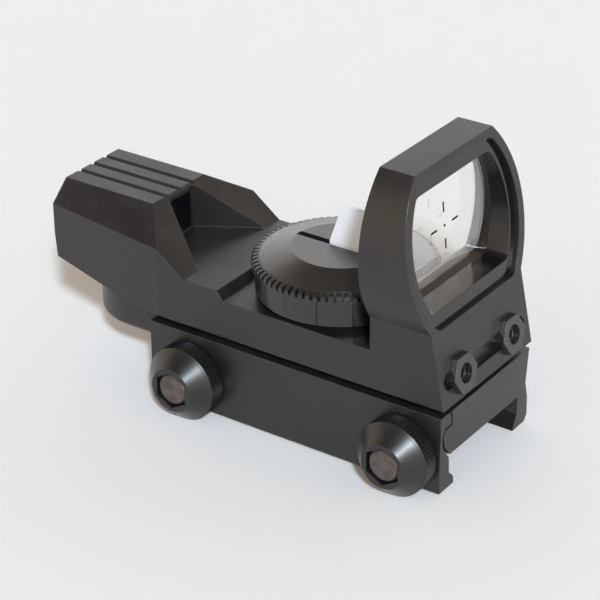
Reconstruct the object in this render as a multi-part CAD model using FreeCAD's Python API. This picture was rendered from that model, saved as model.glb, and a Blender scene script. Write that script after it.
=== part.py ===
import FreeCAD, Part
import math
import os

# Open reflex red dot finder, millimetres. +X is forward, from the emitter towards the lens.
# +Y is left, away from the clamp knobs. +Z is up. The origin is the middle of the rail seat,
# the flat face that rests on top of the rail.

# ---- driving dimensions: rail base and clamp ----
BASE_LENGTH = 60.0
BASE_TOP = 8.15
JAW_BOTTOM = -6.2
SEAT_HALF = 11.1            # half the rail's width
RAIL_PLAY = 0.2             # sideways room between the rail and each jaw
PLATE_FACE_Y = -14.4
PLATE_GAP = 0.45
RIB_LOW = 5.35              # underside of the base's rib that the clamp plate hooks over
BOLT_SPACING = 43.6
BOLT_OFFSET_X = 1.0
BOLT_RADIUS = 2.9
BOLT_Z = -0.1
BOLT_FAR_END = 13.0
BOLT_FLAT_Z = 0.03          # the bolts are milled flat here, so that a rail passes under them
KNOB_RADIUS = 6.85
KNOB_EDGE = 0.4
KNOB_LENGTH = 6.3
KNOB_FACE_RADIUS = 4.1
KNOB_CONE_DEPTH = 2.9
KNOB_SEAT_GAP = 0.15
KNOB_TEETH = 60
KNOB_SOCKET_FLATS = 6.1
KNOB_SOCKET_DEPTH = 1.8
SCREW_XS = (-14.6, 16.4)
SCREW_Y = 6.0
SCREW_RADIUS = 1.5
SCREW_HEAD_RADIUS = 2.75
SCREW_HEAD_BOTTOM = 0.3
SCREW_HEAD_TOP = 2.3
SCREW_TOP = 13.6
SPACER_INSET = 2.2

# ---- driving dimensions: body ----
BODY_BOTTOM = 9.55
BODY_HALF = 14.3
FLOOR_Z = 16.65
DECK_Z = 18.2
HOOD_TOP = 48.65
HOOD_REAR_X = 16.0
FRONT_FOOT_X = 30.35
FRONT_TOP_X = 22.55
HOOD_ARC_RADIUS = 20.04
HOOD_ARC_Y = 2.14           # each side arc's centre is this far beyond the middle plane
HOOD_ARC_Z = 34.3
BLOCK_TOP = 26.93
BLOCK_TOP_HALF = 7.4
BLOCK_REAR_X = -53.8
BLOCK_FRONT_X = -34.0
BLOCK_SIDE_REAR_X = -53.0   # the rear face slants forward to here at the sides
BLOCK_REAR_HALF = 12.3      # the block narrows to here from TAPER_X
TAPER_X = -28.28
CHEEK_FOOT_X = -22.35
CHAMFER_SLOPE = 0.635       # fall of the slanting top edges for each millimetre outwards
GROOVE_YS = (-3.6, 0.0, 3.6)
GROOVE_DEPTH = 0.55

RECESS_BACK_X = -33.6
RECESS_BACK_HALF = 3.6
RECESS_FRONT_HALF = 10.1

BOARD_X = (-11.0, 14.0)
BOARD_HALF = 10.5
BOARD_BOTTOM = 11.2
BOARD_TOP = 12.2
BOARD_GAP = 0.1
BOARD_SHOULDER = 1.0
CAVITY_TOP = 14.2

# ---- driving dimensions: window and lens ----
WINDOW_ARC_RADIUS = 16.7
WINDOW_TOP = 44.55
WINDOW_BOTTOM = 25.2
WINDOW_CORNER = 1.5
BORE_GROW = 0.6             # how far the hood's bore stands outside the window's outline
SLEEVE_GROW = 0.5
FLANGE_ARC_RADIUS = 18.4
FLANGE_TOP = 47.1
FLANGE_BOTTOM = 22.55
FLANGE_CORNER = 2.4
FLANGE_DEPTH = 1.5          # depth of its seat behind the front face
FLANGE_SUNK = 0.9           # how far its own face is behind the front face
FLANGE_PLAY = 0.08
LENS_X = 21.1
LENS_TILT = 5.5
LENS_THICKNESS = 3.4
RETAINER_LIP = 0.2
MARK_Z = 0.65               # the reticle's middle, above the middle of the lens
MARK_INNER = 2.35
MARK_OUTER = 4.15
MARK_HALF = 0.18
MARK_THICKNESS = 0.05
DOT_RADIUS = 0.25

# ---- driving dimensions: dial and battery ----
DIAL_X = 0.74
DIAL_RADIUS = 15.35
DIAL_SKIRT_RADIUS = 14.75
DIAL_RIM_LOW = 22.5
DIAL_BOTTOM = 17.8
DIAL_TEETH = 72
DIAL_NOTCH_WIDTH = 0.56
DIAL_NOTCH_DEPTH = 1.1
SKIRT_GROOVES = 15          # shallow upright grooves round the skirt
SKIRT_GROOVE_WIDTH = 0.3
CONE_SLOPE = 0.29           # fall of the cap's cone for each millimetre outwards
CAP_TOP = 25.53
CAP_FLAT_RADIUS = 8.56
CAP_RADIUS = 14.0
CAP_LIP_RADIUS = 13.2       # inside of the cap's downward lip, round the seal
CAP_LIP_LOW = 22.4
CAP_BOTTOM = 21.4
NECK_RADIUS = 11.8
COLLAR_RADIUS = 13.2
COLLAR_TOP = 21.0
COLLAR_FLOOR = 17.15
COIN_RADIUS = 10.0
COIN_HEIGHT = 3.2
COIN_BOTTOM = 17.65
COIN_STEP = 0.6
SEAL_FLOOR = 21.9
SEAL_RADIUS = 0.5
SEAL_MAJOR = 12.6
SLOT_HALF = 0.7
SLOT_FLOOR = 24.5
PIN_RADIUS = 1.0
PIN_PLAY = 0.3
LEAF_HALF = 2.5
LEAF_INNER = 5.0
LEAF_THICKNESS = 0.3
DETENT_OFFSET = 14.1
DETENT_BALL_RADIUS = 0.6
DETENT_BORE_RADIUS = 0.75
DETENT_BORE_LOW = 14.6
DETENT_SPRING_LOW = 14.8
DETENT_SPRING_HIGH = 16.25
DETENT_COIL_RADIUS = 0.5
DETENT_PITCH = 0.55
DETENT_WIRE_RADIUS = 0.12
TAB_X = (-1.2, 6.25)
TAB_Y = -0.5
TAB_THICKNESS = 0.25
TAB_BEND_RADIUS = 0.8
TAB_LEAN = 37.0             # degrees from upright, towards +Y
TAB_RUN = 6.3               # length of the leaning part

# ---- driving dimensions: emitter and selector ----
BOSS_X = -38.4
BOSS_RADIUS = 11.15
BOSS_BOTTOM = 2.75
BOSS_EDGE_RADIUS = 1.2
SELECTOR_RADIUS = 7.6
SELECTOR_HEIGHT = 3.0
SELECTOR_SLOT_HALF = 0.8
SELECTOR_SLOT_DEPTH = 1.3
DRUM_RADIUS = 3.4
DRUM_WALL = 0.7
DRUM_TOP = 24.4
DRUM_FLOOR = 13.75
MASK_HOLES = 4
MASK_RADIUS = 0.9
MASK_Z = 19.6
CLIP_Z = 15.0
CLIP_HEIGHT = 0.46
CLIP_RADIUS = 4.05
CLIP_SEAT = 0.35            # depth of the drum's groove for the clip
LED_RADIUS = 1.5
LED_Z = (19.4, 22.6)
HOLDER_RADIUS = 2.0
BLOCK_ROOF_Z = 25.0
WINDOW_POCKET_X = -34.8
WINDOW_POCKET_HALF = 3.1
WINDOW_POCKET_Z = (18.4, 25.6)
WINDOW_SUNK = 0.3
LIGHT_PATH_HALF = 2.2
LIGHT_PATH_Z = (19.0, 24.4)

# ---- driving dimensions: zero adjusters ----
ADJUSTER_Y = 7.8
ADJUSTER_Z = 13.75
ADJUSTER_SLOT_HALF = 1.55
ADJUSTER_SLOT_END = 11.35
ADJUSTER_RADIUS = 1.75
ADJUSTER_DEPTH = 5.4
ADJUSTER_END = 4.4
ADJUSTER_RISE = 0.15
ADJUSTER_SOCKET_FLATS = 1.8
ADJUSTER_SOCKET_DEPTH = 1.1
PUSH_RADIUS = 1.25
PUSH_END = 6.5
PUSH_DEPTH = 7.6
NUT_FLATS = 6.2
NUT_DEPTH = 1.2
NUT_RISE = 1.1
NUT_PLAY = 0.03

RUN_CLEARANCE = 0.05
FAR = 100.0                 # longer than anything in the object

# ---- worked-out dimensions ----
BASE_HALF_LENGTH = BASE_LENGTH / 2
BOLT_XS = (BOLT_OFFSET_X - BOLT_SPACING / 2, BOLT_OFFSET_X + BOLT_SPACING / 2)
RAIL_HALF = SEAT_HALF - RAIL_PLAY
KNOB_BACK_Y = PLATE_FACE_Y - KNOB_SEAT_GAP
KNOB_FACE_Y = KNOB_BACK_Y - KNOB_LENGTH
SELECTOR_TOP = BOSS_BOTTOM + SELECTOR_HEIGHT
FRONT_SLOPE = (FRONT_FOOT_X - FRONT_TOP_X) / (HOOD_TOP - BODY_BOTTOM)
FRONT_TILT = math.degrees(math.atan(FRONT_SLOPE))
DETENT_PLACE = (DIAL_X - DETENT_OFFSET, 0.0)
DETENT_BALL_Z = DIAL_BOTTOM - DETENT_BALL_RADIUS - RUN_CLEARANCE

OUT = "parts"


def vec(x, y, z):
    return FreeCAD.Vector(x, y, z)


def prism_x(points, x_low, x_high):
    """A solid with the outline `points` in (y, z), from x_low to x_high."""
    loop = [vec(x_low, y, z) for y, z in points]
    face = Part.Face(Part.makePolygon(loop + loop[:1]))
    return face.extrude(vec(x_high - x_low, 0, 0))


def prism_y(points, y_low, y_high):
    """A solid with the outline `points` in (x, z), from y_low to y_high."""
    loop = [vec(x, y_low, z) for x, z in points]
    face = Part.Face(Part.makePolygon(loop + loop[:1]))
    return face.extrude(vec(0, y_high - y_low, 0))


def prism_z(points, z_low, z_high):
    """A solid with the outline `points` in (x, y), from z_low to z_high."""
    loop = [vec(x, y, z_low) for x, y in points]
    face = Part.Face(Part.makePolygon(loop + loop[:1]))
    return face.extrude(vec(0, 0, z_high - z_low))


def box(x_range, y_range, z_range):
    size = [high - low for low, high in (x_range, y_range, z_range)]
    return Part.makeBox(*size, vec(x_range[0], y_range[0], z_range[0]))


def rod_x(radius, y, z, x_low, x_high):
    return Part.makeCylinder(radius, x_high - x_low, vec(x_low, y, z), vec(1, 0, 0))


def rod_y(radius, x, z, y_low, y_high):
    return Part.makeCylinder(radius, y_high - y_low, vec(x, y_low, z), vec(0, 1, 0))


def rod_z(radius, x, y, z_low, z_high):
    return Part.makeCylinder(radius, z_high - z_low, vec(x, y, z_low))


def ring_z(outer, inner, x, y, z_low, z_high):
    return rod_z(outer, x, y, z_low, z_high).cut(rod_z(inner, x, y, z_low, z_high))


def turned_z(points, x, y):
    """A solid of revolution about a vertical axis from an outline in (radius, z)."""
    loop = [vec(x + radius, y, z) for radius, z in points]
    face = Part.Face(Part.makePolygon(loop + loop[:1]))
    return face.revolve(vec(x, y, 0), vec(0, 0, 1), 360)


def turned_y(points, x, z):
    """A solid of revolution about an axis along Y from an outline in (radius, y)."""
    loop = [vec(x + radius, y, z) for radius, y in points]
    face = Part.Face(Part.makePolygon(loop + loop[:1]))
    return face.revolve(vec(x, 0, z), vec(0, 1, 0), 360)


def hexagon(flats, centre_a, centre_b, turn=0):
    """The six corners of a hexagon with flats at its top and bottom, turned by `turn` degrees."""
    radius = flats / math.sqrt(3)
    angles = [math.radians(60 * step + turn) for step in range(6)]
    return [(centre_a + radius * math.cos(a), centre_b + radius * math.sin(a)) for a in angles]


def tilted(shape, x, z, degrees):
    """Moves a shape drawn at the origin, leans its +X axis up by `degrees`, and puts it at x, z."""
    moved = shape.copy()
    moved.Placement = FreeCAD.Placement(vec(x, 0, z), FreeCAD.Rotation(vec(0, 1, 0), -degrees))
    return moved


def front_x(z):
    """Where the leaning front face is at height z."""
    return FRONT_FOOT_X - FRONT_SLOPE * (z - BODY_BOTTOM)


def on_front(shape):
    """Puts a shape drawn with +X out of the front face at the adjusters' height on that face."""
    return tilted(shape, front_x(ADJUSTER_Z), ADJUSTER_Z, FRONT_TILT)


def front_slab(depth_back, depth_front):
    """The layer between two depths behind the front face."""
    layer = box((-depth_back, -depth_front), (-FAR, FAR), (-FAR, FAR))
    return on_front(layer)


def lens_slab(x_low, x_high):
    """The layer between two offsets along the lens axis, from the lens's front face."""
    return tilted(box((x_low, x_high), (-FAR, FAR), (-FAR, FAR)), LENS_X, HOOD_ARC_Z, LENS_TILT)


def arched_face(radius, top, bottom, x):
    """Hood-shaped outline at x: flat top and bottom, each side an arc about a shared centre."""
    def side(z, sign):
        reach = math.sqrt(radius ** 2 - (z - HOOD_ARC_Z) ** 2)
        return vec(x, sign * (reach - HOOD_ARC_Y), z)

    def arc(sign, first, last):
        middle = vec(x, sign * (radius - HOOD_ARC_Y), HOOD_ARC_Z)
        return Part.Arc(side(first, sign), middle, side(last, sign)).toShape()

    edges = [
        Part.makeLine(side(top, -1), side(top, 1)),
        arc(1, top, bottom),
        Part.makeLine(side(bottom, 1), side(bottom, -1)),
        arc(-1, bottom, top),
    ]
    return Part.Face(Part.Wire(edges))


def arched_prism(radius, top, bottom, corner):
    """A prism through the hood with an arched outline and rounded corners."""
    solid = arched_face(radius, top, bottom, 0).extrude(vec(FAR, 0, 0))
    long_edges = [edge for edge in solid.Edges if edge.Length > FAR - 1]
    return solid.makeFillet(corner, long_edges)


def window_prism(grow):
    """The window's outline grown outward by `grow`."""
    return arched_prism(WINDOW_ARC_RADIUS + grow, WINDOW_TOP + grow, WINDOW_BOTTOM - grow,
                        WINDOW_CORNER + grow)


def flange_prism(play):
    """The outline of the bezel's flange, smaller all round by `play`."""
    return arched_prism(FLANGE_ARC_RADIUS - play, FLANGE_TOP - play, FLANGE_BOTTOM + play,
                        FLANGE_CORNER)


# ---- rail base ----

def bolt_bores(radius, y_low, y_high):
    bores = [rod_y(radius, x, BOLT_Z, y_low, y_high) for x in BOLT_XS]
    return bores[0].fuse(bores[1:])


def screw_places():
    return [(x, y) for x in SCREW_XS for y in (-SCREW_Y, SCREW_Y)]


def mount_base():
    """The base with the fixed far jaw, and the rib that guides the clamp plate."""
    outline = [
        (-11.05, BASE_TOP), (-10.55, RIB_LOW), (-12.7, RIB_LOW), (-13.4, 4.2), (-13.15, 2.45),
        (-12.15, 1.1), (-SEAT_HALF - RAIL_PLAY, 0.0), (RAIL_HALF, 0.0), (RAIL_HALF, -3.45),
        (9.6, JAW_BOTTOM), (13.6, JAW_BOTTOM), (14.4, -5.1), (14.35, -1.6), (13.5, 1.7),
        (14.35, BASE_TOP),
    ]
    base = prism_x(outline, -BASE_HALF_LENGTH, BASE_HALF_LENGTH)
    base = base.cut(bolt_bores(BOLT_RADIUS + RUN_CLEARANCE, -FAR, RAIL_HALF))
    base = base.cut(bolt_bores(BOLT_RADIUS, RAIL_HALF, FAR))
    for x, y in screw_places():
        base = base.cut(rod_z(SCREW_RADIUS, x, y, 0, BASE_TOP))
        base = base.cut(rod_z(SCREW_HEAD_RADIUS + RUN_CLEARANCE, x, y, -1, SCREW_HEAD_TOP))
    return base


def clamp_bolt(x):
    """A fixed through bolt. Its underside is milled flat, level with the rail seat."""
    sunk = 0.35
    bolt = rod_y(BOLT_RADIUS, x, BOLT_Z, KNOB_FACE_Y + sunk, BOLT_FAR_END)
    bolt = bolt.makeChamfer(0.3, [edge for edge in bolt.Edges if edge.Closed])
    reach = BOLT_RADIUS + 0.5
    flat = box((x - reach, x + reach), (-SEAT_HALF - RAIL_PLAY, RAIL_HALF),
               (BOLT_Z - 2 * BOLT_RADIUS, BOLT_FLAT_Z))
    return bolt.cut(flat)


def body_screw(x, y):
    """A socket screw that holds the body down on the base."""
    head = rod_z(SCREW_HEAD_RADIUS, x, y, SCREW_HEAD_BOTTOM, SCREW_HEAD_TOP)
    shank = rod_z(SCREW_RADIUS, x, y, SCREW_HEAD_TOP, SCREW_TOP)
    socket = prism_z(hexagon(2.5, x, y), 0, SCREW_HEAD_BOTTOM + 1.3)
    return head.fuse(shank).removeSplitter().cut(socket)


def spacer_plate():
    """The plate in the gap between the base and the body. It also closes the board's cavity."""
    half_x = BASE_HALF_LENGTH - SPACER_INSET
    half_y = BODY_HALF - SPACER_INSET
    plate = box((-half_x, half_x), (-half_y, half_y), (BASE_TOP, BODY_BOTTOM))
    for x, y in screw_places():
        plate = plate.cut(rod_z(SCREW_RADIUS, x, y, BASE_TOP, BODY_BOTTOM))
    return plate


def clamp_plate():
    """The sliding near jaw, grooved for the base's rib."""
    groove_top = RIB_LOW + PLATE_GAP
    outline = [
        (PLATE_FACE_Y, BASE_TOP), (PLATE_FACE_Y, JAW_BOTTOM), (-10.0, JAW_BOTTOM),
        (-10.1, -4.85), (-11.45, -3.45), (-11.6, -PLATE_GAP), (-12.6, 0.8), (-13.6, 2.3),
        (-13.85, 4.4), (-13.0, groove_top), (-11.0, groove_top), (-11.5, BASE_TOP),
    ]
    plate = prism_x(outline, -BASE_HALF_LENGTH, BASE_HALF_LENGTH)
    return plate.cut(bolt_bores(BOLT_RADIUS + RUN_CLEARANCE, -FAR, 0))


def clamp_knob(x):
    """A thumb nut: straight knurl, conical face and a hexagon socket round the bolt's end."""
    shoulder_y = KNOB_FACE_Y + KNOB_CONE_DEPTH
    inner = KNOB_RADIUS - KNOB_EDGE
    knob = turned_y([
        (0, KNOB_BACK_Y), (inner, KNOB_BACK_Y), (KNOB_RADIUS, KNOB_BACK_Y - KNOB_EDGE),
        (KNOB_RADIUS, shoulder_y), (inner, shoulder_y - KNOB_EDGE),
        (KNOB_FACE_RADIUS, KNOB_FACE_Y), (0, KNOB_FACE_Y),
    ], x, BOLT_Z)
    knob = knob.cut(knurl(x, shoulder_y))
    socket = prism_y(hexagon(KNOB_SOCKET_FLATS, x, BOLT_Z, 30), KNOB_FACE_Y - 1,
                     KNOB_FACE_Y + KNOB_SOCKET_DEPTH)
    return knob.cut(socket).cut(rod_y(BOLT_RADIUS + RUN_CLEARANCE, x, BOLT_Z, -FAR, 0))


def knurl(x, shoulder_y):
    """The V notches of a thumb nut's knurl."""
    width = 0.5
    notches = []
    for tooth in range(KNOB_TEETH):
        notch = Part.makeBox(width, KNOB_LENGTH, width, vec(-width / 2, shoulder_y, -width / 2))
        notch.rotate(vec(0, 0, 0), vec(0, 1, 0), 45)
        notch.translate(vec(KNOB_RADIUS, 0, 0))
        notch.rotate(vec(0, 0, 0), vec(0, 1, 0), 360 * tooth / KNOB_TEETH)
        notch.translate(vec(x, 0, BOLT_Z))
        notches.append(notch)
    return Part.makeCompound(notches)


# ---- body ----

def block_chamfer(sign):
    """The slanting cut along one top edge of the rear block."""
    reach = 2 * (BODY_HALF - BLOCK_TOP_HALF)
    outer = sign * (BLOCK_TOP_HALF + reach)
    outline = [
        (sign * BLOCK_TOP_HALF, BLOCK_TOP), (outer, BLOCK_TOP - CHAMFER_SLOPE * reach),
        (outer, BLOCK_TOP + 5), (sign * BLOCK_TOP_HALF, BLOCK_TOP + 5),
    ]
    return prism_x(outline, BLOCK_REAR_X - 2, CHEEK_FOOT_X)


def block_taper(sign):
    """The upright cut that narrows the block towards its rear and slants its rear corner."""
    beyond = BLOCK_REAR_X - 5
    outline = [
        (TAPER_X, sign * BODY_HALF), (BLOCK_SIDE_REAR_X, sign * BLOCK_REAR_HALF),
        (BLOCK_REAR_X, sign * BLOCK_TOP_HALF), (beyond, sign * BLOCK_TOP_HALF),
        (beyond, sign * 2 * BODY_HALF), (TAPER_X, sign * 2 * BODY_HALF),
    ]
    return prism_z(outline, 0, FAR)


def body_side():
    """The side view of the body, without its hood."""
    hood_joint_z = 24.0
    return [
        (FRONT_FOOT_X, BODY_BOTTOM), (front_x(hood_joint_z), hood_joint_z), (HOOD_REAR_X, hood_joint_z),
        (HOOD_REAR_X, FLOOR_Z), (-13.95, FLOOR_Z), (-15.35, DECK_Z), (CHEEK_FOOT_X, DECK_Z),
        (BLOCK_FRONT_X, BLOCK_TOP), (BLOCK_REAR_X, BLOCK_TOP), (-52.6, 13.5), (-40.2, 10.9),
        (-32.7, BODY_BOTTOM),
    ]


def lower_body():
    body = prism_y(body_side(), -BODY_HALF, BODY_HALF)
    for sign in (-1, 1):
        body = body.cut(block_chamfer(sign)).cut(block_taper(sign))
    return body


def selector_boss():
    """The boss under the rear block: round at the back, straight-sided up to the base."""
    front = -BASE_HALF_LENGTH - PLATE_GAP
    round_end = rod_z(BOSS_RADIUS, BOSS_X, 0, BOSS_BOTTOM, FLOOR_Z)
    straight = box((BOSS_X, front), (-BOSS_RADIUS, BOSS_RADIUS), (BOSS_BOTTOM, FLOOR_Z))
    behind_base = box((-FAR, front), (-FAR, FAR), (0, FAR))
    boss = round_end.fuse(straight).removeSplitter().common(behind_base)
    rim = [edge for edge in boss.Edges
           if edge.BoundBox.ZMax < BOSS_BOTTOM + 0.1 and edge.BoundBox.XMin < front - 0.1]
    boss = boss.makeFillet(BOSS_EDGE_RADIUS, rim)
    under_block = box((-FAR, front), (-FAR, FAR), (0, BODY_BOTTOM + 3))
    return boss.common(prism_y(body_side(), -FAR, FAR).fuse(under_block))


def hood():
    reach = BODY_HALF + HOOD_ARC_Y
    waist_z = HOOD_ARC_Z - math.sqrt(HOOD_ARC_RADIUS ** 2 - reach ** 2)
    arch = arched_face(HOOD_ARC_RADIUS, HOOD_TOP, waist_z, 0).extrude(vec(FAR, 0, 0))
    skirt = box((0, FAR), (-BODY_HALF, BODY_HALF), (BODY_BOTTOM, waist_z))
    profile = [
        (HOOD_REAR_X, BODY_BOTTOM), (FRONT_FOOT_X, BODY_BOTTOM), (FRONT_TOP_X, HOOD_TOP),
        (HOOD_REAR_X, HOOD_TOP),
    ]
    return arch.fuse(skirt).removeSplitter().common(prism_y(profile, -FAR, FAR))


def recess():
    """The funnel in the rear block that the emitter shines through. Its floor is the deck."""
    spread = (RECESS_FRONT_HALF - RECESS_BACK_HALF) / (CHEEK_FOOT_X - RECESS_BACK_X)
    front_half = RECESS_FRONT_HALF + spread
    front = CHEEK_FOOT_X + 1
    return prism_z([(RECESS_BACK_X, -RECESS_BACK_HALF), (front, -front_half),
                    (front, front_half), (RECESS_BACK_X, RECESS_BACK_HALF)], DECK_Z, FAR)


def emitter_bores():
    """The bores for the selector, its drum and clip, the window's pocket and the light's path."""
    bores = [
        rod_z(SELECTOR_RADIUS + RUN_CLEARANCE, BOSS_X, 0, 0, SELECTOR_TOP + RUN_CLEARANCE),
        rod_z(DRUM_RADIUS + RUN_CLEARANCE, BOSS_X, 0, 0, BLOCK_ROOF_Z),
        rod_z(CLIP_RADIUS + 0.1, BOSS_X, 0, CLIP_Z - RUN_CLEARANCE, CLIP_Z + CLIP_HEIGHT + 0.12),
        box((WINDOW_POCKET_X, RECESS_BACK_X), (-WINDOW_POCKET_HALF, WINDOW_POCKET_HALF),
            WINDOW_POCKET_Z),
        box((BOSS_X, WINDOW_POCKET_X), (-LIGHT_PATH_HALF, LIGHT_PATH_HALF), LIGHT_PATH_Z),
    ]
    return Part.makeCompound(bores)


def top_grooves():
    """Three V grooves for grip along the rear block's top."""
    cuts = []
    for y in GROOVE_YS:
        low, high = y - GROOVE_DEPTH, y + GROOVE_DEPTH
        outline = [(low, BLOCK_TOP + 1), (low, BLOCK_TOP), (y, BLOCK_TOP - GROOVE_DEPTH),
                   (high, BLOCK_TOP), (high, BLOCK_TOP + 1)]
        cuts.append(prism_x(outline, BLOCK_REAR_X - 1, BLOCK_FRONT_X + 1))
    return Part.makeCompound(cuts)


def adjuster_cuts():
    """The slot across the front face with a hexagon pocket and a stepped bore for each nut."""
    above = 5.0
    half = ADJUSTER_SLOT_HALF
    cuts = [box((-NUT_DEPTH, above), (-ADJUSTER_SLOT_END, ADJUSTER_SLOT_END), (-half, half))]
    for sign in (-1, 1):
        y = sign * ADJUSTER_Y
        cuts.append(rod_x(half, sign * ADJUSTER_SLOT_END, 0, -NUT_DEPTH, above))
        cuts.append(prism_x(hexagon(NUT_FLATS + 2 * NUT_PLAY, y, 0), -NUT_DEPTH, above))
        cuts.append(rod_x(ADJUSTER_RADIUS, y, 0, -ADJUSTER_DEPTH, 0))
        cuts.append(rod_x(PUSH_RADIUS, y, 0, -PUSH_DEPTH, 0))
    return on_front(Part.makeCompound(cuts))


def window_cuts():
    """The hood's through bore and the shallow seat of the bezel's flange."""
    return window_prism(BORE_GROW), flange_prism(0).common(front_slab(FLANGE_DEPTH, -10))


def board_cuts():
    low, high = BOARD_X
    step = BOARD_SHOULDER
    outer = BOARD_HALF + BOARD_GAP
    inner = BOARD_HALF - step
    return Part.makeCompound([
        box((low - BOARD_GAP, high + BOARD_GAP), (-outer, outer), (0, BOARD_TOP)),
        box((low + step, high - step), (-inner, inner), (0, CAVITY_TOP)),
        rod_z(PIN_RADIUS + PIN_PLAY, DIAL_X, 0, 0, FAR),
        rod_z(DETENT_BORE_RADIUS, *DETENT_PLACE, DETENT_BORE_LOW, FAR),
    ])


def body_shell():
    shell = lower_body().fuse([hood(), selector_boss()])
    dial_room = rod_z(DIAL_RADIUS + 0.6, DIAL_X, 0, FLOOR_Z, WINDOW_BOTTOM - 1.1)
    shell = shell.cut(dial_room)
    shell = shell.removeSplitter()
    shell = shell.cut(recess()).cut(top_grooves())
    for cutter in window_cuts():
        shell = shell.cut(cutter)
    for bore in emitter_bores().Solids:
        shell = shell.cut(bore)
    for cutter in adjuster_cuts().Solids + board_cuts().Solids:
        shell = shell.cut(cutter)
    for x, y in screw_places():
        shell = shell.cut(rod_z(SCREW_RADIUS, x, y, 0, SCREW_TOP + 0.2))
    return shell


# ---- lens ----

def lens():
    return window_prism(SLEEVE_GROW).common(lens_slab(-LENS_THICKNESS, 0))


def lens_bezel():
    """The flange round the window with the glossy sleeve that runs back to the lens."""
    flange = flange_prism(FLANGE_PLAY).common(front_slab(FLANGE_DEPTH, FLANGE_SUNK))
    sleeve = window_prism(SLEEVE_GROW).common(front_slab(FAR, FLANGE_DEPTH))
    sleeve = sleeve.common(lens_slab(0, FAR))
    return flange.fuse(sleeve).removeSplitter().cut(window_prism(0))


def lens_retainer():
    """The ring that holds the lens in from the rear."""
    ring = window_prism(SLEEVE_GROW).common(lens_slab(-FAR, -LENS_THICKNESS))
    ring = ring.common(box((HOOD_REAR_X + 0.25, FAR), (-FAR, FAR), (-FAR, FAR)))
    return ring.cut(window_prism(-RETAINER_LIP))


def reticle_marks():
    """Four short bars and a centre dot on the lens's front face."""
    depth = (0, MARK_THICKNESS)
    across = (-MARK_HALF, MARK_HALF)
    marks = [rod_x(DOT_RADIUS, 0, MARK_Z, *depth)]
    for low, high in ((-MARK_OUTER, -MARK_INNER), (MARK_INNER, MARK_OUTER)):
        marks.append(box(depth, (low, high), (MARK_Z - MARK_HALF, MARK_Z + MARK_HALF)))
        marks.append(box(depth, across, (MARK_Z + low, MARK_Z + high)))
    return tilted(Part.makeCompound(marks), LENS_X, HOOD_ARC_Z, LENS_TILT)


# ---- emitter ----

def emitter_window():
    return box((WINDOW_POCKET_X, RECESS_BACK_X - WINDOW_SUNK),
               (-WINDOW_POCKET_HALF, WINDOW_POCKET_HALF), WINDOW_POCKET_Z)


def emitter_holder():
    """The post that hangs from the block's roof inside the drum."""
    return rod_z(HOLDER_RADIUS, BOSS_X, 0, LED_Z[1], BLOCK_ROOF_Z)


def emitter_led():
    low, high = LED_Z
    stem = rod_z(LED_RADIUS, BOSS_X, 0, low, high)
    dome = Part.makeSphere(LED_RADIUS, vec(BOSS_X, 0, low))
    return stem.fuse(dome).removeSplitter()


def selector_knob():
    """The reticle selector: a slotted disc with the drum that carries the reticle masks."""
    disc = rod_z(SELECTOR_RADIUS, BOSS_X, 0, BOSS_BOTTOM, SELECTOR_TOP)
    drum = rod_z(DRUM_RADIUS, BOSS_X, 0, SELECTOR_TOP, DRUM_TOP)
    knob = disc.fuse(drum).removeSplitter()
    knob = knob.cut(box((BOSS_X - FAR, BOSS_X + FAR), (-SELECTOR_SLOT_HALF, SELECTOR_SLOT_HALF),
                        (0, BOSS_BOTTOM + SELECTOR_SLOT_DEPTH)))
    knob = knob.cut(rod_z(DRUM_RADIUS - DRUM_WALL, BOSS_X, 0, DRUM_FLOOR, FAR))
    knob = knob.cut(ring_z(DRUM_RADIUS + 1, DRUM_RADIUS - CLIP_SEAT, BOSS_X, 0,
                           CLIP_Z, CLIP_Z + CLIP_HEIGHT + 0.04))
    for turn in range(MASK_HOLES):
        hole = rod_x(MASK_RADIUS, 0, MASK_Z, 0, DRUM_RADIUS + 1)
        hole.rotate(vec(0, 0, 0), vec(0, 0, 1), 360 * turn / MASK_HOLES)
        hole.translate(vec(BOSS_X, 0, 0))
        knob = knob.cut(hole)
    return knob


def selector_clip():
    """The open spring clip that keeps the selector up in the block."""
    low = CLIP_Z + 0.02
    clip = ring_z(CLIP_RADIUS, DRUM_RADIUS - CLIP_SEAT + 0.02, BOSS_X, 0, low, low + CLIP_HEIGHT)
    gap = box((BOSS_X - CLIP_RADIUS - 1, BOSS_X), (-1.0, 1.0), (CLIP_Z - 1, CLIP_Z + 2))
    return clip.cut(gap)


# ---- dial and battery ----

def cone_z(radius):
    """Height of the shared cone of the cap and the dial at a radius."""
    return CAP_TOP - CONE_SLOPE * (radius - CAP_FLAT_RADIUS)


def circuit_board():
    board = box(BOARD_X, (-BOARD_HALF, BOARD_HALF), (BOARD_BOTTOM, BOARD_TOP))
    chip = box((3.5, 8.5), (3.0, 8.0), (BOARD_TOP, BOARD_TOP + 1.1))
    return board.fuse(chip)


def battery_collar():
    """The fixed cup that holds the coin cell and carries the dial."""
    collar = rod_z(COLLAR_RADIUS, DIAL_X, 0, FLOOR_Z, COLLAR_TOP)
    collar = collar.cut(rod_z(COIN_RADIUS + 0.2, DIAL_X, 0, COLLAR_FLOOR, FAR))
    return collar.cut(rod_z(PIN_RADIUS + PIN_PLAY, DIAL_X, 0, 0, FAR))


def coin_cell():
    step_z = COIN_BOTTOM + COIN_STEP
    can = rod_z(COIN_RADIUS, DIAL_X, 0, step_z, COIN_BOTTOM + COIN_HEIGHT)
    lid = rod_z(COIN_RADIUS - 2 * COIN_STEP, DIAL_X, 0, COIN_BOTTOM, step_z)
    return can.fuse(lid).removeSplitter()


def contact_pin():
    """The sprung pin that joins the board to the cell."""
    return rod_z(PIN_RADIUS, DIAL_X, 0, BOARD_TOP, COIN_BOTTOM)


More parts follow.
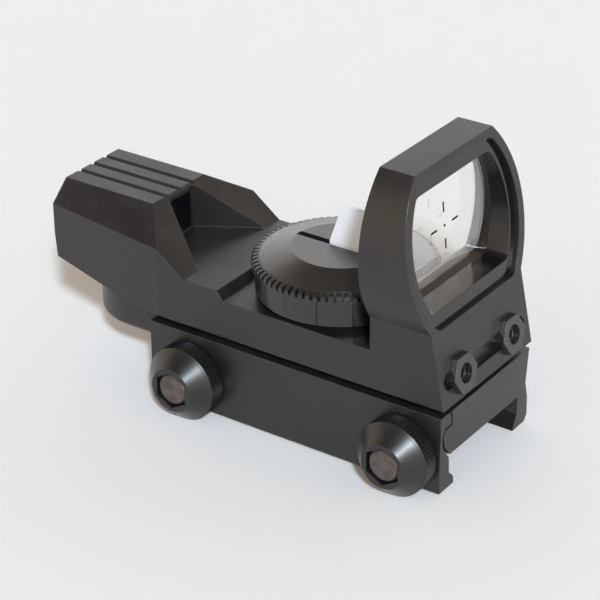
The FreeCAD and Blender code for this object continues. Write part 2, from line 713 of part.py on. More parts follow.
def contact_leaf():
    """The short strip on the collar's floor, under the cell's rim."""
    ring = ring_z(COIN_RADIUS, LEAF_INNER, DIAL_X, 0, COLLAR_FLOOR, COLLAR_FLOOR + LEAF_THICKNESS)
    return ring.common(box((DIAL_X, FAR), (-LEAF_HALF, LEAF_HALF), (0, FAR)))


def detent_ball():
    return Part.makeSphere(DETENT_BALL_RADIUS, vec(*DETENT_PLACE, DETENT_BALL_Z))


def detent_spring():
    """The coil under the ball, as one coil of wire."""
    height = DETENT_SPRING_HIGH - DETENT_SPRING_LOW
    helix = Part.makeHelix(DETENT_PITCH, height, DETENT_COIL_RADIUS)
    circle = Part.makeCircle(DETENT_WIRE_RADIUS, vec(DETENT_COIL_RADIUS, 0, 0), vec(0, 1, 0))
    coil = Part.Wire(helix).makePipeShell([Part.Wire(circle)], True, True)
    coil.translate(vec(*DETENT_PLACE, DETENT_SPRING_LOW))
    return coil


def dial_ring():
    """The brightness dial: a smooth skirt under a knurled rim, threaded inside for the cap."""
    edge = 0.35
    rim_high = cone_z(DIAL_RADIUS) + 0.1
    cap_bore = CAP_RADIUS + RUN_CLEARANCE
    seal_bore = CAP_LIP_RADIUS + 2 * RUN_CLEARANCE
    neck_bore = NECK_RADIUS + RUN_CLEARANCE
    collar_bore = COLLAR_RADIUS + RUN_CLEARANCE
    step_z = COLLAR_TOP + 0.1
    ring = turned_z([
        (collar_bore, DIAL_BOTTOM), (DIAL_SKIRT_RADIUS, DIAL_BOTTOM),
        (DIAL_SKIRT_RADIUS, DIAL_RIM_LOW), (DIAL_RADIUS, DIAL_RIM_LOW),
        (DIAL_RADIUS, rim_high - edge), (DIAL_RADIUS - edge, rim_high),
        (cap_bore, cone_z(CAP_RADIUS)), (cap_bore, CAP_LIP_LOW - RUN_CLEARANCE),
        (seal_bore, CAP_LIP_LOW - RUN_CLEARANCE), (seal_bore, SEAL_FLOOR), (neck_bore, SEAL_FLOOR),
        (neck_bore, step_z), (collar_bore, step_z),
    ], DIAL_X, 0)
    return ring.cut(dial_notches()).cut(skirt_grooves())


def dial_notches():
    """The square notches round the rim. They stop short of its underside."""
    low = DIAL_RIM_LOW + 0.2
    height = CAP_TOP - low
    notches = []
    for tooth in range(DIAL_TEETH):
        notch = Part.makeBox(2 * DIAL_NOTCH_DEPTH, DIAL_NOTCH_WIDTH, height,
                             vec(DIAL_RADIUS - DIAL_NOTCH_DEPTH, -DIAL_NOTCH_WIDTH / 2, low))
        notch.rotate(vec(0, 0, 0), vec(0, 0, 1), 360 * tooth / DIAL_TEETH)
        notch.translate(vec(DIAL_X, 0, 0))
        notches.append(notch)
    return Part.makeCompound(notches)


def skirt_grooves():
    """The shallow V grooves down the skirt."""
    side = SKIRT_GROOVE_WIDTH / math.sqrt(2)
    grooves = []
    for place in range(SKIRT_GROOVES):
        groove = Part.makeBox(side, side, DIAL_RIM_LOW - DIAL_BOTTOM, vec(-side / 2, -side / 2, DIAL_BOTTOM))
        groove.rotate(vec(0, 0, 0), vec(0, 0, 1), 45)
        groove.translate(vec(DIAL_SKIRT_RADIUS, 0, 0))
        groove.rotate(vec(0, 0, 0), vec(0, 0, 1), 360 * place / SKIRT_GROOVES)
        groove.translate(vec(DIAL_X, 0, 0))
        grooves.append(groove)
    return Part.makeCompound(grooves)


def cap_seal():
    return Part.makeTorus(SEAL_MAJOR, SEAL_RADIUS, vec(DIAL_X, 0, SEAL_FLOOR + SEAL_RADIUS))


def battery_cap():
    """The slotted cap over the cell, with a thin slit for the pull tab."""
    flange_low = SEAL_FLOOR + 2 * SEAL_RADIUS
    cap = turned_z([
        (0, CAP_BOTTOM), (NECK_RADIUS, CAP_BOTTOM), (NECK_RADIUS, flange_low),
        (CAP_LIP_RADIUS, flange_low), (CAP_LIP_RADIUS, CAP_LIP_LOW), (CAP_RADIUS, CAP_LIP_LOW),
        (CAP_RADIUS, cone_z(CAP_RADIUS)),
        (CAP_FLAT_RADIUS, CAP_TOP), (0, CAP_TOP),
    ], DIAL_X, 0)
    reach = CAP_FLAT_RADIUS + 0.3
    slot = box((DIAL_X - reach, DIAL_X + reach), (-SLOT_HALF, SLOT_HALF), (SLOT_FLOOR, FAR))
    slit_half = TAB_THICKNESS / 2 + 0.075
    slit = box((TAB_X[0] - 0.15, TAB_X[1] + 0.15), (TAB_Y - slit_half, TAB_Y + slit_half), (0, FAR))
    return cap.cut(slot).cut(slit)


def pull_tab():
    """The thin plastic tab that keeps the cell apart from the cap: upright, then leaning back."""
    low = COIN_BOTTOM + COIN_HEIGHT + 0.1
    bend_z = CAP_TOP + 0.3
    half = TAB_THICKNESS / 2
    inner = TAB_BEND_RADIUS
    outer = TAB_BEND_RADIUS + TAB_THICKNESS
    centre_y = TAB_Y + half + inner
    lean = math.radians(TAB_LEAN)
    run = vec(0, TAB_RUN * math.sin(lean), TAB_RUN * math.cos(lean))

    def bent(radius, angle):
        return vec(TAB_X[0], centre_y - radius * math.cos(angle), bend_z + radius * math.sin(angle))

    near_foot = vec(TAB_X[0], TAB_Y - half, low)
    far_foot = vec(TAB_X[0], TAB_Y + half, low)
    near_tip = bent(outer, lean) + run
    far_tip = bent(inner, lean) + run
    edges = [
        Part.makeLine(near_foot, bent(outer, 0)),
        Part.Arc(bent(outer, 0), bent(outer, lean / 2), bent(outer, lean)).toShape(),
        Part.makeLine(bent(outer, lean), near_tip),
        Part.makeLine(near_tip, far_tip),
        Part.makeLine(far_tip, bent(inner, lean)),
        Part.Arc(bent(inner, lean), bent(inner, lean / 2), bent(inner, 0)).toShape(),
        Part.makeLine(bent(inner, 0), far_foot),
        Part.makeLine(far_foot, near_foot),
    ]
    face = Part.Face(Part.Wire(edges))
    return face.extrude(vec(TAB_X[1] - TAB_X[0], 0, 0))


# ---- zero adjusters ----

def adjuster_nut(y):
    nut = prism_x(hexagon(NUT_FLATS, y, 0), -NUT_DEPTH, NUT_RISE)
    return on_front(nut.cut(rod_x(ADJUSTER_RADIUS, y, 0, -NUT_DEPTH, NUT_RISE)))


def adjuster_screw(y):
    screw = rod_x(ADJUSTER_RADIUS - RUN_CLEARANCE, y, 0, -ADJUSTER_END, ADJUSTER_RISE)
    screw = screw.makeChamfer(0.25, [edge for edge in screw.Edges if edge.Closed])
    socket = prism_x(hexagon(ADJUSTER_SOCKET_FLATS, y, 0), -ADJUSTER_SOCKET_DEPTH, 1)
    return on_front(screw.cut(socket))


def adjuster_pin(y):
    """The plain pin that the screw pushes."""
    return on_front(rod_x(PUSH_RADIUS - RUN_CLEARANCE, y, 0, -PUSH_END, -ADJUSTER_END))


def save(name, *shapes):
    shape = shapes[0] if len(shapes) == 1 else Part.makeCompound(list(shapes))
    shape.exportStep(os.path.join(OUT, name + ".step"))


def main():
    os.makedirs(OUT, exist_ok=True)
    save("mount_base", mount_base())
    save("clamp_bolts", *[clamp_bolt(x) for x in BOLT_XS])
    save("body_screws", *[body_screw(x, y) for x, y in screw_places()])
    save("spacer_plate", spacer_plate())
    save("clamp_plate", clamp_plate())
    save("clamp_knob_rear", clamp_knob(BOLT_XS[0]))
    save("clamp_knob_front", clamp_knob(BOLT_XS[1]))
    save("body_shell", body_shell())
    save("lens", lens())
    save("lens_bezel", lens_bezel())
    save("lens_retainer", lens_retainer())
    save("reticle_marks", reticle_marks())
    save("emitter_window", emitter_window())
    save("emitter_holder", emitter_holder())
    save("emitter_led", emitter_led())
    save("selector_knob", selector_knob())
    save("selector_clip", selector_clip())
    save("circuit_board", circuit_board())
    save("battery_collar", battery_collar())
    save("coin_cell", coin_cell())
    save("contact_pin", contact_pin())
    save("contact_leaf", contact_leaf())
    save("detent_ball", detent_ball())
    save("detent_spring", detent_spring())
    save("dial_ring", dial_ring())
    save("cap_seal", cap_seal())
    save("battery_cap", battery_cap())
    save("pull_tab", pull_tab())
    save("adjuster_nuts", adjuster_nut(-ADJUSTER_Y), adjuster_nut(ADJUSTER_Y))
    save("adjuster_screw_near", adjuster_screw(-ADJUSTER_Y))
    save("adjuster_screw_far", adjuster_screw(ADJUSTER_Y))
    save("adjuster_pin_near", adjuster_pin(-ADJUSTER_Y))
    save("adjuster_pin_far", adjuster_pin(ADJUSTER_Y))


main()
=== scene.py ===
import math

import bmesh
import bpy
from mathutils import Matrix, Quaternion, Vector

# Looks of an open reflex red dot finder, in metres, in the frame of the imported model.
# +X is forward, +Y is left, away from the clamp knobs, and +Z is up.

MM = 0.001

# ---- camera and stage ----
TARGET = Vector((-0.0067, -0.0017, 0.0135))
CAMERA_AZIMUTH = 35.16
CAMERA_ELEVATION = 28.25
CAMERA_DISTANCE = 0.38
CAMERA_ROLL = -0.507
CAMERA_LENS = 131.43

FLOOR_Z = -6.95 * MM
FLOOR_TILT = 1.39           # degrees; the finder stands on two knobs and its far jaw
NEAR_CONTACT_Y = -17.2 * MM  # the floor is at FLOOR_Z under this line, where the knobs rest
FLOOR_REACH = 1.3
FLOOR_HALF_WIDTH = 2.2
SWEEP_RADIUS = 0.6
SWEEP_STEPS = 24
WALL_HEIGHT = 1.6

KEY_AZIMUTH = 42.0
KEY_ELEVATION = 36.5
KEY_ANGLE = 5.0             # degrees across, which sets how soft the shadows are
KEY_STRENGTH = 2.97
KEY_COLOUR = (0.745, 0.875, 1.0)
FILL_AZIMUTH = 40.0
FILL_ELEVATION = 38.0
FILL_DISTANCE = 1.2
FILL_SIZE = 0.32
FILL_POWER = 1.1
SKY_COLOUR = (1.0, 0.81, 0.62)
SKY_LOW = 1.2              # strength of the sky at the horizon, as a backdrop would be
SKY_HIGH = 0.14             # strength of the sky overhead

# ---- surfaces ----
COATING_GRAIN = 2400.0      # lumps a metre
SCRATCH_SPACING = 6 * MM
SCRATCH_SHARE = 0.3         # share of the surface that has scratches
# pale grey of the edges: coating worn through, and a painted edge highlight on crests and rims
EDGE_WEAR_AND_HIGHLIGHT_GREY = 0.16
SCRATCH_GREY = 0.2
DUST_GREY = 0.5
METAL_EDGE = 0.1 * MM       # radius of the rounds on bare metal edges
LENS_HALF = 13.5 * MM       # half the lens's width
LENS_CURVE = 0.27           # sideways lean of the coating's normal at the lens's far edge
LENS_MIRROR = 0.17          # share of the light that the coating sends back

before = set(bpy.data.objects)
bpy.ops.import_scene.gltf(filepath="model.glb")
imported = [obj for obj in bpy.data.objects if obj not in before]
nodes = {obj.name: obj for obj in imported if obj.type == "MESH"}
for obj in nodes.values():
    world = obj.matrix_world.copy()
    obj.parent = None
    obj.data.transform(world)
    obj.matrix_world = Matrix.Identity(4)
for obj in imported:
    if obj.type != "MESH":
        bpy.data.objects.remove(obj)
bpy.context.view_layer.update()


# ---- shader helpers ----

def add(tree, kind, inputs=None, **settings):
    """Adds a shader node. Each input is a socket to link or a plain value."""
    node = tree.nodes.new("ShaderNode" + kind)
    for key, value in settings.items():
        setattr(node, key, value)
    for key, value in (inputs or {}).items():
        if isinstance(value, bpy.types.NodeSocket):
            tree.links.new(value, node.inputs[key])
        else:
            node.inputs[key].default_value = value
    return node


def maths(tree, operation, first, second=0.0, clamp=False):
    """The output of one math node."""
    node = add(tree, "Math", {0: first, 1: second}, operation=operation, use_clamp=clamp)
    return node.outputs[0]


def ramped(tree, value, low, high, to_low=0.0, to_high=1.0):
    """value mapped smoothly from low..high to to_low..to_high, and held beyond them."""
    node = add(tree, "MapRange", {
        "Value": value, "From Min": low, "From Max": high, "To Min": to_low, "To Max": to_high,
    }, interpolation_type="SMOOTHSTEP")
    return node.outputs["Result"]


def mixed(tree, factor, first, second):
    """Colours first and second mixed by factor."""
    node = add(tree, "Mix", data_type="RGBA")
    for key, value in (("Factor", factor), ("A", first), ("B", second)):
        kind = "VALUE" if key == "Factor" else "RGBA"
        socket = next(s for s in node.inputs if s.name == key and s.type == kind)
        if isinstance(value, bpy.types.NodeSocket):
            tree.links.new(value, socket)
        else:
            socket.default_value = value
    return next(s for s in node.outputs if s.type == "RGBA")


def noise(tree, place, scale, detail=2.0, roughness=0.5):
    """Cloudy values about 0.5, with `scale` lumps a metre."""
    return add(tree, "TexNoise", {
        "Vector": place, "Scale": scale, "Detail": detail, "Roughness": roughness,
    }).outputs["Fac"]


def grey(level):
    return (level, level, level, 1.0)


def shaded(rgb, factor):
    """rgb made darker or lighter by factor, with full alpha."""
    return tuple(channel * factor for channel in rgb) + (1.0,)


def new_material(name):
    """An empty material, its tree, and the place of each point on the piece in metres."""
    material = bpy.data.materials.new(name)
    material.use_nodes = True
    tree = material.node_tree
    tree.nodes.clear()
    place = add(tree, "TexCoord").outputs["Object"]
    return material, tree, place


def finish_surface(tree, shader):
    """Ends the tree with its shader on the surface."""
    output = add(tree, "OutputMaterial")
    tree.links.new(shader, output.inputs["Surface"])


def specks(tree, place, spacing, size, share):
    """Mask of small round specks about `spacing` apart, on about `share` of the places."""
    cells = add(tree, "TexVoronoi", {"Vector": place, "Scale": 1.0 / spacing})
    near = ramped(tree, cells.outputs["Distance"], size / spacing, 0.5 * size / spacing)
    parts = add(tree, "SeparateColor", {"Color": cells.outputs["Color"]})
    chosen = maths(tree, "LESS_THAN", parts.outputs[0], share)
    return maths(tree, "MULTIPLY", near, chosen)


def scratches(tree, place, spacing, share):
    """Mask of a few short fine scratches in varied directions."""
    bend = add(tree, "TexNoise", {"Vector": place, "Scale": 60.0}).outputs["Color"]
    stretch = add(tree, "Mapping", {
        "Vector": place, "Rotation": (0.3, 0.5, 0.7), "Scale": (1.0, 0.12, 1.0),
    }).outputs["Vector"]
    moved = add(tree, "VectorMath", {0: bend, 1: (0.004, 0.004, 0.004)}, operation="MULTIPLY")
    bent = add(tree, "VectorMath", {0: stretch, 1: moved.outputs[0]}, operation="ADD").outputs[0]
    edge = add(tree, "TexVoronoi", {"Vector": bent, "Scale": 1.0 / spacing},
               feature="DISTANCE_TO_EDGE").outputs["Distance"]
    line = ramped(tree, edge, 0.012, 0.004)
    patch = ramped(tree, noise(tree, place, 160.0), 1.0 - share, 1.02 - share)
    return maths(tree, "MULTIPLY", line, patch)


def edge_mask_and_normal(tree, radius):
    """(mask of convex and concave edges, the normal rounded over those edges)."""
    rounded = add(tree, "Bevel", {"Radius": radius}, samples=6).outputs["Normal"]
    flat = add(tree, "NewGeometry").outputs["True Normal"]
    same = add(tree, "VectorMath", {0: rounded, 1: flat}, operation="DOT_PRODUCT").outputs["Value"]
    return ramped(tree, same, 0.985, 0.86), rounded


def upward(tree):
    """Mask of surfaces that face up, where dust settles."""
    normal = add(tree, "NewGeometry").outputs["Normal"]
    height = add(tree, "SeparateXYZ", {"Vector": normal}).outputs["Z"]
    return ramped(tree, height, 0.2, 0.9)


# ---- materials ----

def dust_mask(tree, place, dust):
    """How much dust lies at each place: specks all over, and a haze on what faces up."""
    dots = maths(tree, "ADD", specks(tree, place, 2.4 * MM, 0.13 * MM, 0.3),
                 specks(tree, place, 1.1 * MM, 0.06 * MM, 0.25), clamp=True)
    patches = ramped(tree, noise(tree, place, 240.0, 5.0), 0.4, 0.8)
    haze = maths(tree, "MULTIPLY", upward(tree), patches)
    both = maths(tree, "ADD", maths(tree, "MULTIPLY", dots, 1.8), maths(tree, "MULTIPLY", haze, 0.25))
    return maths(tree, "MULTIPLY", both, dust, clamp=True)


def wear_and_highlight_mask(tree, place, edges, wear_and_highlight):
    """How far the edges are lightened at each place: coating worn through, and a painted edge highlight.
    """
    patches = ramped(tree, noise(tree, place, 420.0, 4.0), 0.35, 0.7)
    return maths(tree, "MULTIPLY", maths(tree, "MULTIPLY", edges, patches), wear_and_highlight)


def coated(name, colour, roughness, grain=0.12, dust=0.1, wear_and_highlight=0.35, edge=0.22 * MM, specular=0.5,
           coat=0.0):
    """Black coated metal or moulded plastic: grain, worn edges that also carry a painted edge highlight,
    dust and fine scratches.
    """
    material, tree, place = new_material(name)
    mottle = noise(tree, place, 90.0, 4.0, 0.6)
    fine = noise(tree, place, COATING_GRAIN, 3.0, 0.6)
    marks = scratches(tree, place, SCRATCH_SPACING, SCRATCH_SHARE)
    edges, rounded = edge_mask_and_normal(tree, edge)
    worn_and_lit = wear_and_highlight_mask(tree, place, edges, wear_and_highlight)
    dirt = dust_mask(tree, place, dust)

    base = mixed(tree, ramped(tree, mottle, 0.3, 0.7), shaded(colour, 0.85), shaded(colour, 1.18))
    base = mixed(tree, maths(tree, "MULTIPLY", fine, 0.3), base, shaded(colour, 1.6))
    # painted edge highlight mixed with real wear: the edges are lightened to a pale grey
    base = mixed(tree, worn_and_lit, base, grey(EDGE_WEAR_AND_HIGHLIGHT_GREY))
    base = mixed(tree, maths(tree, "MULTIPLY", marks, 0.07), base, grey(SCRATCH_GREY))
    base = mixed(tree, dirt, base, grey(DUST_GREY))

    rough = ramped(tree, mottle, 0.25, 0.75, roughness * 0.88, roughness * 1.12)
    rough = maths(tree, "SUBTRACT", rough, maths(tree, "MULTIPLY", worn_and_lit, 0.15), clamp=True)
    rough = maths(tree, "ADD", rough, maths(tree, "MULTIPLY", dirt, 0.4), clamp=True)

    height = maths(tree, "SUBTRACT", fine, maths(tree, "MULTIPLY", marks, 0.15))
    bump = add(tree, "Bump", {
        "Strength": grain, "Distance": 0.05 * MM, "Height": height, "Normal": rounded,
    }).outputs["Normal"]
    shader = add(tree, "BsdfPrincipled", {
        "Base Color": base, "Roughness": rough, "Normal": bump, "Specular IOR Level": specular,
        "Coat Weight": coat, "Coat Roughness": 0.12,
    })
    finish_surface(tree, shader.outputs["BSDF"])
    return material


def bare_metal(name, colour, roughness, stain=0.3, grain=0.15, brushed=(1.0, 1.0, 1.0)):
    """Uncoated metal: grain or brushing along one axis, stains, and edges lightened as a painted
    highlight.
    """
    material, tree, place = new_material(name)
    stretched = add(tree, "Mapping", {"Vector": place, "Scale": brushed}).outputs["Vector"]
    fine = noise(tree, stretched, 3200.0, 4.0, 0.65)
    blotch = noise(tree, place, 620.0, 5.0, 0.6)
    edges, rounded = edge_mask_and_normal(tree, METAL_EDGE)
    stained = maths(tree, "MULTIPLY", ramped(tree, blotch, 0.35, 0.7), stain)
    brown = (colour[0], colour[1] * 0.8, colour[2] * 0.62)
    base = mixed(tree, stained, shaded(colour, 1.0), shaded(brown, 0.45))
    base = mixed(tree, maths(tree, "MULTIPLY", fine, 0.35), base, shaded(colour, 0.6))
    # painted edge highlight: the edges are lightened
    base = mixed(tree, maths(tree, "MULTIPLY", edges, 0.3), base, shaded(colour, 1.3))
    rough = ramped(tree, blotch, 0.3, 0.7, roughness * 0.85, roughness * 1.25)
    bump = add(tree, "Bump", {
        "Strength": grain, "Distance": 0.04 * MM, "Height": fine, "Normal": rounded,
    }).outputs["Normal"]
    shader = add(tree, "BsdfPrincipled", {
        "Base Color": base, "Metallic": 0.9, "Roughness": rough, "Normal": bump,
    })
    finish_surface(tree, shader.outputs["BSDF"])
    return material


def through_light(tree, shader):
    """shader to the eye, but clear to light on its way to other pieces."""
    clear = add(tree, "BsdfTransparent").outputs["BSDF"]
    shadow = add(tree, "LightPath").outputs["Is Shadow Ray"]
    return add(tree, "MixShader", {0: shadow, 1: shader, 2: clear}).outputs[0]


def coated_glass(name):
    """Lens glass with blackened edges. Its curved coating sends back part of the light."""
    material, tree, place = new_material(name)
    smear = noise(tree, place, 140.0, 4.0, 0.6)
    dirt = specks(tree, place, 2.2 * MM, 0.07 * MM, 0.3)
    rough = ramped(tree, smear, 0.45, 0.8, 0.0, 0.02)
    glass = add(tree, "BsdfPrincipled", {
        "Base Color": (0.97, 0.975, 0.97, 1.0), "Roughness": rough, "IOR": 1.5,
        "Transmission Weight": 1.0,
    }).outputs["BSDF"]
    normal = add(tree, "NewGeometry").outputs["True Normal"]
    across = add(tree, "SeparateXYZ", {"Vector": normal}).outputs["X"]
    side = add(tree, "SeparateXYZ", {"Vector": place}).outputs["Y"]
    turn = ramped(tree, side, 0.0, LENS_HALF, 0.0, -LENS_CURVE)
    curve = add(tree, "CombineXYZ", {"X": 0.0, "Y": turn, "Z": 0.0}).outputs["Vector"]
    curved = add(tree, "VectorMath", {0: normal, 1: curve}, operation="ADD").outputs[0]
    curved = add(tree, "VectorMath", {0: curved}, operation="NORMALIZE").outputs[0]
    mirror = add(tree, "BsdfGlossy", {
        "Color": (0.99, 0.985, 0.98, 1.0), "Roughness": rough, "Normal": curved,
    }).outputs[0]
    front = maths(tree, "GREATER_THAN", across, 0.9)
    both = add(tree, "MixShader", {0: maths(tree, "MULTIPLY", front, LENS_MIRROR), 1: glass, 2: mirror})
    dust = add(tree, "BsdfDiffuse", {"Color": grey(0.7)}).outputs[0]
    both = add(tree, "MixShader", {0: maths(tree, "MULTIPLY", dirt, 0.5), 1: both.outputs[0], 2: dust})
    black = add(tree, "BsdfDiffuse", {"Color": grey(0.004)}).outputs[0]
    edge = maths(tree, "LESS_THAN", maths(tree, "ABSOLUTE", across), 0.9)
    whole = add(tree, "MixShader", {0: edge, 1: both.outputs[0], 2: black}).outputs[0]
    finish_surface(tree, through_light(tree, whole))
    return material


def tinted_window(name):
    """Dark polished plastic with faint smears."""
    material, tree, place = new_material(name)
    smear = noise(tree, place, 260.0, 4.0, 0.6)
    shader = add(tree, "BsdfPrincipled", {
        "Base Color": mixed(tree, smear, (0.002, 0.002, 0.003, 1.0), (0.004, 0.004, 0.007, 1.0)),
        "Roughness": ramped(tree, smear, 0.3, 0.7, 0.05, 0.14), "Coat Weight": 0.6,
    })
    finish_surface(tree, shader.outputs["BSDF"])
    return material


def film(name, colour):
    """Thin cloudy plastic film that lets some light through."""
    material, tree, place = new_material(name)
    cloud = noise(tree, place, 300.0, 4.0, 0.6)
    fold = noise(tree, place, 900.0, 2.0, 0.5)
    rounded = edge_mask_and_normal(tree, 0.05 * MM)[1]
    bump = add(tree, "Bump", {
        "Strength": 0.08, "Distance": 0.05 * MM, "Height": fold, "Normal": rounded,
    }).outputs["Normal"]
    base = mixed(tree, cloud, shaded(colour, 0.94), shaded(colour, 1.04))
    surface = add(tree, "BsdfPrincipled", {
        "Base Color": base, "Roughness": ramped(tree, cloud, 0.3, 0.7, 0.45, 0.55), "Normal": bump,
    }).outputs["BSDF"]
    glow = add(tree, "BsdfTranslucent", {"Color": base}).outputs[0]
    finish_surface(tree, add(tree, "MixShader", {0: 0.35, 1: surface, 2: glow}).outputs[0])
    return material


def rubber(name):
    """Matt black rubber with a pale bloom."""
    material, tree, place = new_material(name)
    fine = noise(tree, place, 3000.0, 4.0, 0.7)
    bloom = noise(tree, place, 180.0, 4.0, 0.6)
    bump = add(tree, "Bump", {"Strength": 0.25, "Distance": 0.05 * MM, "Height": fine}).outputs["Normal"]
    shader = add(tree, "BsdfPrincipled", {
        "Base Color": mixed(tree, bloom, grey(0.008), grey(0.016)),
        "Roughness": ramped(tree, fine, 0.3, 0.7, 0.65, 0.85), "Normal": bump,
    })
    finish_surface(tree, shader.outputs["BSDF"])
    return material


def red_epoxy(name):
    """The clouded red body of a light-emitting diode."""
    material, tree, place = new_material(name)
    cloud = noise(tree, place, 700.0, 3.0, 0.5)
    shader = add(tree, "BsdfPrincipled", {
        "Base Color": mixed(tree, cloud, (0.5, 0.02, 0.015, 1.0), (0.65, 0.05, 0.03, 1.0)),
        "Roughness": ramped(tree, cloud, 0.3, 0.7, 0.08, 0.16), "Transmission Weight": 0.5,
    })
    finish_surface(tree, shader.outputs["BSDF"])
    return material


def printed_board(name):
    """Green solder mask with straight tracks, and tinned pads."""
    material, tree, place = new_material(name)
    cells = add(tree, "TexBrick", {
        "Vector": place, "Color1": grey(0.0), "Color2": grey(0.35), "Mortar": grey(1.0),
        "Scale": 260.0, "Mortar Size": 0.018, "Mortar Smooth": 0.2,
    }).outputs["Color"]
    pads = specks(tree, place, 2.6 * MM, 0.5 * MM, 0.4)
    base = mixed(tree, cells, (0.012, 0.075, 0.03, 1.0), (0.03, 0.16, 0.06, 1.0))
    base = mixed(tree, pads, base, (0.6, 0.58, 0.52, 1.0))
    height = maths(tree, "ADD", cells, pads)
    bump = add(tree, "Bump", {"Strength": 0.4, "Distance": 0.04 * MM, "Height": height}).outputs["Normal"]
    shader = add(tree, "BsdfPrincipled", {
        "Base Color": base, "Metallic": pads, "Roughness": ramped(tree, pads, 0.0, 1.0, 0.35, 0.25),
        "Normal": bump,
    })
    finish_surface(tree, shader.outputs["BSDF"])
    return material


def paper(name):
    """Pale seamless paper."""
    material, tree, place = new_material(name)
    fibre = noise(tree, place, 1400.0, 4.0, 0.6)
    cloud = noise(tree, place, 6.0, 2.0, 0.5)
    base = mixed(tree, cloud, (0.835, 0.835, 0.84, 1.0), (0.865, 0.865, 0.87, 1.0))
    bump = add(tree, "Bump", {"Strength": 0.03, "Distance": 0.05 * MM, "Height": fibre}).outputs["Normal"]
    shader = add(tree, "BsdfPrincipled", {
        "Base Color": base, "Roughness": 0.75, "Normal": bump, "Specular IOR Level": 0.2,
    })
    finish_surface(tree, shader.outputs["BSDF"])
    return material


def body_black():
    return coated("body_black", (0.009, 0.0085, 0.0095), 0.38, grain=0.2, dust=0.09, wear_and_highlight=0.3,
                  specular=0.62)


def base_black():
    return coated("base_black", (0.008, 0.0077, 0.0088), 0.36, grain=0.18, dust=0.07, wear_and_highlight=0.3,
                  specular=0.62)


def knob_black():
    return coated("knob_black", (0.006, 0.006, 0.007), 0.34, grain=0.1, dust=0.08, wear_and_highlight=0.25,
                  edge=0.05 * MM, specular=0.6, coat=0.08)


def bezel_black():
    return coated("bezel_black", (0.004, 0.004, 0.0048), 0.1, grain=0.02, dust=0.3, wear_and_highlight=0.1,
                  edge=0.12 * MM, coat=0.3)


def dial_black():
    return coated("dial_black", (0.008, 0.0077, 0.0085), 0.32, grain=0.05, dust=0.05, wear_and_highlight=0.4,
                  edge=0.06 * MM, specular=0.75)


def cap_black():
    return coated("cap_black", (0.0105, 0.0102, 0.0105), 0.28, grain=0.04, dust=0.03, wear_and_highlight=0.3,
                  edge=0.1 * MM, specular=1.0, coat=0.25)


def dull_black():
    return coated("dull_black", (0.006, 0.006, 0.006), 0.6, grain=0.1, dust=0.05, wear_and_highlight=0.1,
                  edge=0.08 * MM, specular=0.3)


def nut_black():
    return coated("nut_black", (0.02, 0.02, 0.022), 0.26, grain=0.08, dust=0.06, wear_and_highlight=0.5,
                  edge=0.1 * MM, specular=0.8)


def mark_ink():
    return coated("mark_ink", (0.02, 0.012, 0.012), 0.6, grain=0.1, dust=0.0, wear_and_highlight=0.0,
                  edge=0.02 * MM, specular=0.2)


# ---- CAD nodes ----

def paint(material, *names):
    """Gives the named CAD nodes the material."""
    for name in names:
        node = nodes[name]
        node.data.materials.clear()
        node.data.materials.append(material)


def paint_all():
    paint(body_black(), "body_shell")
    paint(base_black(), "mount_base", "clamp_plate")
    paint(knob_black(), "clamp_knob_front", "clamp_knob_rear")
    paint(bezel_black(), "lens_bezel", "lens_retainer")
    paint(dial_black(), "dial_ring", "selector_knob")
    paint(cap_black(), "battery_cap")
    paint(dull_black(), "spacer_plate", "battery_collar", "emitter_holder")
    paint(nut_black(), "adjuster_nuts", "adjuster_screw_near", "adjuster_screw_far", "body_screws")
    paint(mark_ink(), "reticle_marks")
    paint(bare_metal("bolt_steel", (0.17, 0.148, 0.138), 0.6, stain=0.6, grain=0.4), "clamp_bolts")
    paint(bare_metal("spring_steel", (0.55, 0.55, 0.56), 0.3), "selector_clip", "detent_ball",
          "detent_spring", "adjuster_pin_near", "adjuster_pin_far")
    paint(bare_metal("cell_steel", (0.72, 0.72, 0.71), 0.22, stain=0.1, brushed=(1.0, 0.1, 1.0)),
          "coin_cell")
    paint(bare_metal("contact_brass", (0.75, 0.55, 0.25), 0.3), "contact_pin", "contact_leaf")
    paint(coated_glass("coated_glass"), "lens")
    paint(tinted_window("tinted_window"), "emitter_window")
    paint(film("pull_tab_film", (0.84, 0.86, 0.9)), "pull_tab")
    paint(rubber("seal_rubber"), "cap_seal")
    paint(red_epoxy("red_epoxy"), "emitter_led")
    paint(printed_board("printed_board"), "circuit_board")


# ---- stage, light and camera ----

def direction(azimuth, elevation):
    """Unit vector from the object towards azimuth (0 is -Y, 90 is +X) and elevation."""
    a, e = math.radians(azimuth), math.radians(elevation)
    return Vector((math.sin(a) * math.cos(e), -math.cos(a) * math.cos(e), math.sin(e)))


def backdrop():
    """A floor that sweeps up into a wall on the side away from the camera."""
    profile = [(-FLOOR_REACH, 0.0), (FLOOR_REACH, 0.0)]
    for step in range(1, SWEEP_STEPS + 1):
        angle = math.pi / 2 * step / SWEEP_STEPS
        profile.append((FLOOR_REACH + SWEEP_RADIUS * math.sin(angle),
                        SWEEP_RADIUS * (1 - math.cos(angle))))
    profile.append((FLOOR_REACH + SWEEP_RADIUS, WALL_HEIGHT))
    mesh = bmesh.new()
    rows = [[mesh.verts.new((side * FLOOR_HALF_WIDTH, depth, height)) for side in (-1, 1)]
            for depth, height in profile]
    for low, high in zip(rows, rows[1:]):
        mesh.faces.new((low[0], low[1], high[1], high[0])).smooth = True
    data = bpy.data.meshes.new("backdrop")
    mesh.to_mesh(data)
    mesh.free()
    sheet = bpy.data.objects.new("backdrop", data)
    bpy.context.scene.collection.objects.link(sheet)
    turn = Matrix.Rotation(math.radians(CAMERA_AZIMUTH), 4, "Z")
    tilt = Matrix.Rotation(math.radians(FLOOR_TILT), 4, "X")
    contact = Vector((0, NEAR_CONTACT_Y, FLOOR_Z))
    sheet.matrix_world = Matrix.Translation(contact) @ tilt @ turn
    data.materials.append(paper("paper"))


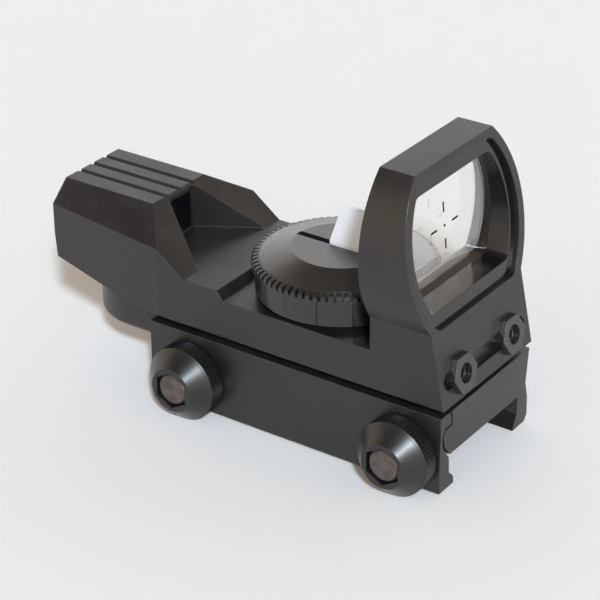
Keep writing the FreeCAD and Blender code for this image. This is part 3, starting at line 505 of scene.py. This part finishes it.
def key_light():
    """The main light: one small bright source from the camera's right."""
    data = bpy.data.lights.new("key", "SUN")
    data.angle = math.radians(KEY_ANGLE)
    data.energy = KEY_STRENGTH
    data.color = KEY_COLOUR
    lamp = bpy.data.objects.new("key", data)
    bpy.context.scene.collection.objects.link(lamp)
    back = direction(KEY_AZIMUTH, KEY_ELEVATION)
    lamp.rotation_mode = "QUATERNION"
    lamp.rotation_quaternion = (-back).to_track_quat("-Z", "Y")


def fill_light():
    """A soft light beside the camera, which the thumb nuts' faces send back."""
    data = bpy.data.lights.new("fill", "AREA")
    data.shape = "DISK"
    data.size = FILL_SIZE
    data.energy = FILL_POWER
    lamp = bpy.data.objects.new("fill", data)
    bpy.context.scene.collection.objects.link(lamp)
    back = direction(FILL_AZIMUTH, FILL_ELEVATION)
    lamp.location = TARGET + back * FILL_DISTANCE
    lamp.rotation_mode = "QUATERNION"
    lamp.rotation_quaternion = (-back).to_track_quat("-Z", "Y")


def sky():
    """A plain studio round the finder: bright at the horizon, darker overhead."""
    world = bpy.data.worlds.new("sky")
    bpy.context.scene.world = world
    world.use_nodes = True
    tree = world.node_tree
    up = add(tree, "TexCoord").outputs["Generated"]
    height = add(tree, "SeparateXYZ", {"Vector": up}).outputs["Z"]
    strength = ramped(tree, height, 0.42, 0.75, SKY_LOW, SKY_HIGH)
    background = tree.nodes["Background"]
    background.inputs["Color"].default_value = (*SKY_COLOUR, 1.0)
    tree.links.new(strength, background.inputs["Strength"])


def camera():
    """The viewer's place and lens, aimed at TARGET with a slight roll."""
    data = bpy.data.cameras.new("camera")
    data.lens = CAMERA_LENS
    data.sensor_width = 36.0
    data.clip_start = 0.01
    data.clip_end = 20.0
    eye = bpy.data.objects.new("camera", data)
    bpy.context.scene.collection.objects.link(eye)
    back = direction(CAMERA_AZIMUTH, CAMERA_ELEVATION)
    roll = Quaternion((0, 0, 1), math.radians(CAMERA_ROLL))
    eye.location = TARGET + back * CAMERA_DISTANCE
    eye.rotation_mode = "QUATERNION"
    eye.rotation_quaternion = (-back).to_track_quat("-Z", "Y") @ roll
    bpy.context.scene.camera = eye


def main():
    bpy.context.scene.view_settings.view_transform = "Standard"
    camera()
    backdrop()
    key_light()
    fill_light()
    sky()
    paint_all()


main()
